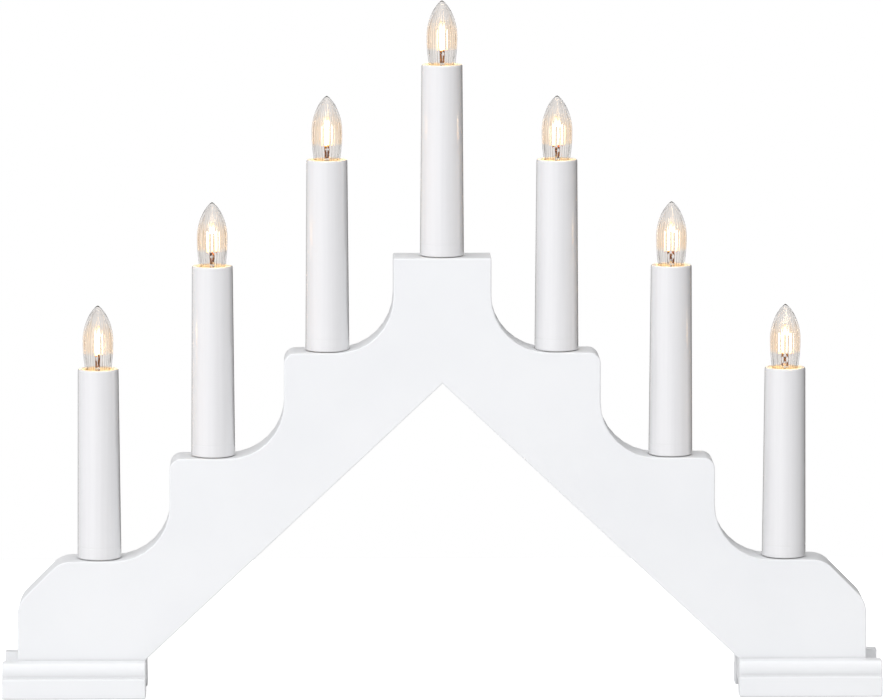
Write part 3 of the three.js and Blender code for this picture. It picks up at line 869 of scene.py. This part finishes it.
def studio_floor():
    """Pale floor: white to the camera and in glass, with the object's shadow on it."""
    half = FLOOR_SIZE / 2
    mesh = bpy.data.meshes.new("studio_floor")
    corners = [(-half, -half, 0.0), (half, -half, 0.0), (half, half, 0.0), (-half, half, 0.0)]
    mesh.from_pydata(corners, [], [(0, 1, 2, 3)])
    material, tree, principled = new_material(
        "studio_floor", Base_Color=opaque(FLOOR_COLOUR), Roughness=0.9, Specular_IOR_Level=0.0,
        Emission_Color=opaque(WHITE))
    tree.links.new(seen_directly(tree, FLOOR_GLOW), principled.inputs["Emission Strength"])
    mesh.materials.append(material)
    placed("studio_floor", mesh)


def direction_ramp(tree, axis, stops):
    """Colour that changes with direction, from against the axis at 0 to along it at 1."""
    place = add_node(tree, "ShaderNodeTexCoord")
    along = add_node(tree, "ShaderNodeVectorMath", {1: axis.normalized()}, operation="DOT_PRODUCT")
    share = add_node(tree, "ShaderNodeMapRange", {"From Min": -1.0, "From Max": 1.0})
    tree.links.new(place.outputs["Generated"], along.inputs[0])
    tree.links.new(along.outputs["Value"], share.inputs["Value"])
    return colour_ramp(tree, share.outputs["Result"], stops)


def studio_world():
    """White backdrop to the camera and through glass; dim room light, darkest at the back right."""
    world = bpy.data.worlds.new("studio")
    world.use_nodes = True
    bpy.context.scene.world = world
    tree = world.node_tree
    room = tree.nodes["Background"]
    tree.links.new(direction_ramp(tree, DARK_SIDE, ROOM_STOPS), room.inputs["Color"])
    behind_glass = add_node(tree, "ShaderNodeBackground")
    tree.links.new(direction_ramp(tree, BACK, THROUGH_GLASS_STOPS), behind_glass.inputs["Color"])
    backdrop = add_node(tree, "ShaderNodeBackground", {"Color": opaque(WHITE)})
    path = add_node(tree, "ShaderNodeLightPath")
    seen = room.outputs["Background"]
    for name, view in (("Is Transmission Ray", behind_glass), ("Is Camera Ray", backdrop)):
        mix = add_node(tree, "ShaderNodeMixShader")
        tree.links.new(path.outputs[name], mix.inputs["Fac"])
        tree.links.new(seen, mix.inputs[1])
        tree.links.new(view.outputs["Background"], mix.inputs[2])
        seen = mix.outputs["Shader"]
    tree.links.new(seen, tree.nodes["World Output"].inputs["Surface"])


def orbit(azimuth, elevation, distance):
    """Place round the middle of the object; azimuth 0 is straight in front of it."""
    flat = math.cos(elevation)
    away = Vector((math.sin(azimuth) * flat, -math.cos(azimuth) * flat, math.sin(elevation)))
    return CAMERA_TARGET + away * distance


def aimed(data, place):
    """Object of a light or camera that looks from a place at the middle of the object."""
    item = placed(data.name, data)
    item.location = place
    item.rotation_euler = (CAMERA_TARGET - place).to_track_quat("-Z", "Y").to_euler()
    return item


def soft_light(name, power, size, place):
    """Square area light that shines from a place at the object."""
    light = bpy.data.lights.new(name, "AREA")
    light.energy = power
    light.size = size
    return aimed(light, place)


def hide_light(item):
    """A light shines, but isn't seen itself, in gloss and glass either."""
    item.visible_camera = False
    item.visible_glossy = False
    item.visible_transmission = False


def key_light():
    """Large light at the front left, which makes no highlight of its own."""
    place = orbit(KEY_AZIMUTH, KEY_ELEVATION, KEY_DISTANCE)
    item = soft_light("large_soft_light", KEY_POWER, KEY_WIDTH, place)
    item.data.shape = "RECTANGLE"
    item.data.size_y = KEY_HEIGHT
    item.data.color = KEY_COLOUR
    item.visible_glossy = False


def top_light():
    """Soft light from above, for the seats and the beads' tops."""
    soft_light("soft_top_light", TOP_LIGHT_POWER, TOP_LIGHT_SIZE, TOP_LIGHT_PLACE)


def back_light():
    """Soft light straight behind the object, for the views of its back."""
    place = orbit(BACK_LIGHT_AZIMUTH, BACK_LIGHT_ELEVATION, BACK_LIGHT_DISTANCE)
    hide_light(soft_light("soft_back_light", BACK_LIGHT_POWER, BACK_LIGHT_SIZE, place))


def lamp_light(number):
    """Warm light that a lamp's filament throws down into its sleeve."""
    low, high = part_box(f"lamp_filament_{number}")
    light = bpy.data.lights.new(f"lamp_light_{number}", "AREA")
    light.shape = "DISK"
    light.energy = LAMP_LIGHT_POWER
    light.color = LAMP_LIGHT_COLOUR
    light.size = LAMP_LIGHT_SIZE
    item = placed(light.name, light)
    item.location = ((low.x + high.x) / 2, (low.y + high.y) / 2, sleeve_rim(number) + LAMP_LIGHT_HEIGHT)
    hide_light(item)


def photo_camera():
    """Camera at the place from which the photograph was taken."""
    camera = bpy.data.cameras.new("photo_camera")
    camera.sensor_width = CAMERA_SENSOR
    camera.lens = CAMERA_LENS
    place = orbit(CAMERA_AZIMUTH, CAMERA_ELEVATION, CAMERA_DISTANCE)
    bpy.context.scene.camera = aimed(camera, place)


photo_camera()
studio_world()
studio_floor()
key_light()
top_light()
back_light()
bpy.context.scene.view_settings.view_transform = "Standard"

arch_board()
for depth in ("front", "rear"):
    for side in ("left", "right"):
        foot_moulding(f"{depth}_{side}_foot_moulding")
for candle in CANDLES:
    candle_sleeve(candle)
    lamp_glass(candle)
    lamp_filament(candle)
    lamp_light(candle)
    finish_node(f"lamp_holder_{candle}", HOLDER)
    finish_node(f"socket_shell_{candle}", BRASS)
    finish_node(f"centre_contact_{candle}", BRASS)
    finish_node(f"lamp_cap_{candle}", CAP_METAL)
for wire in sorted(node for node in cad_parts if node.startswith("jumper_wire_")):
    jumper_wire(wire)
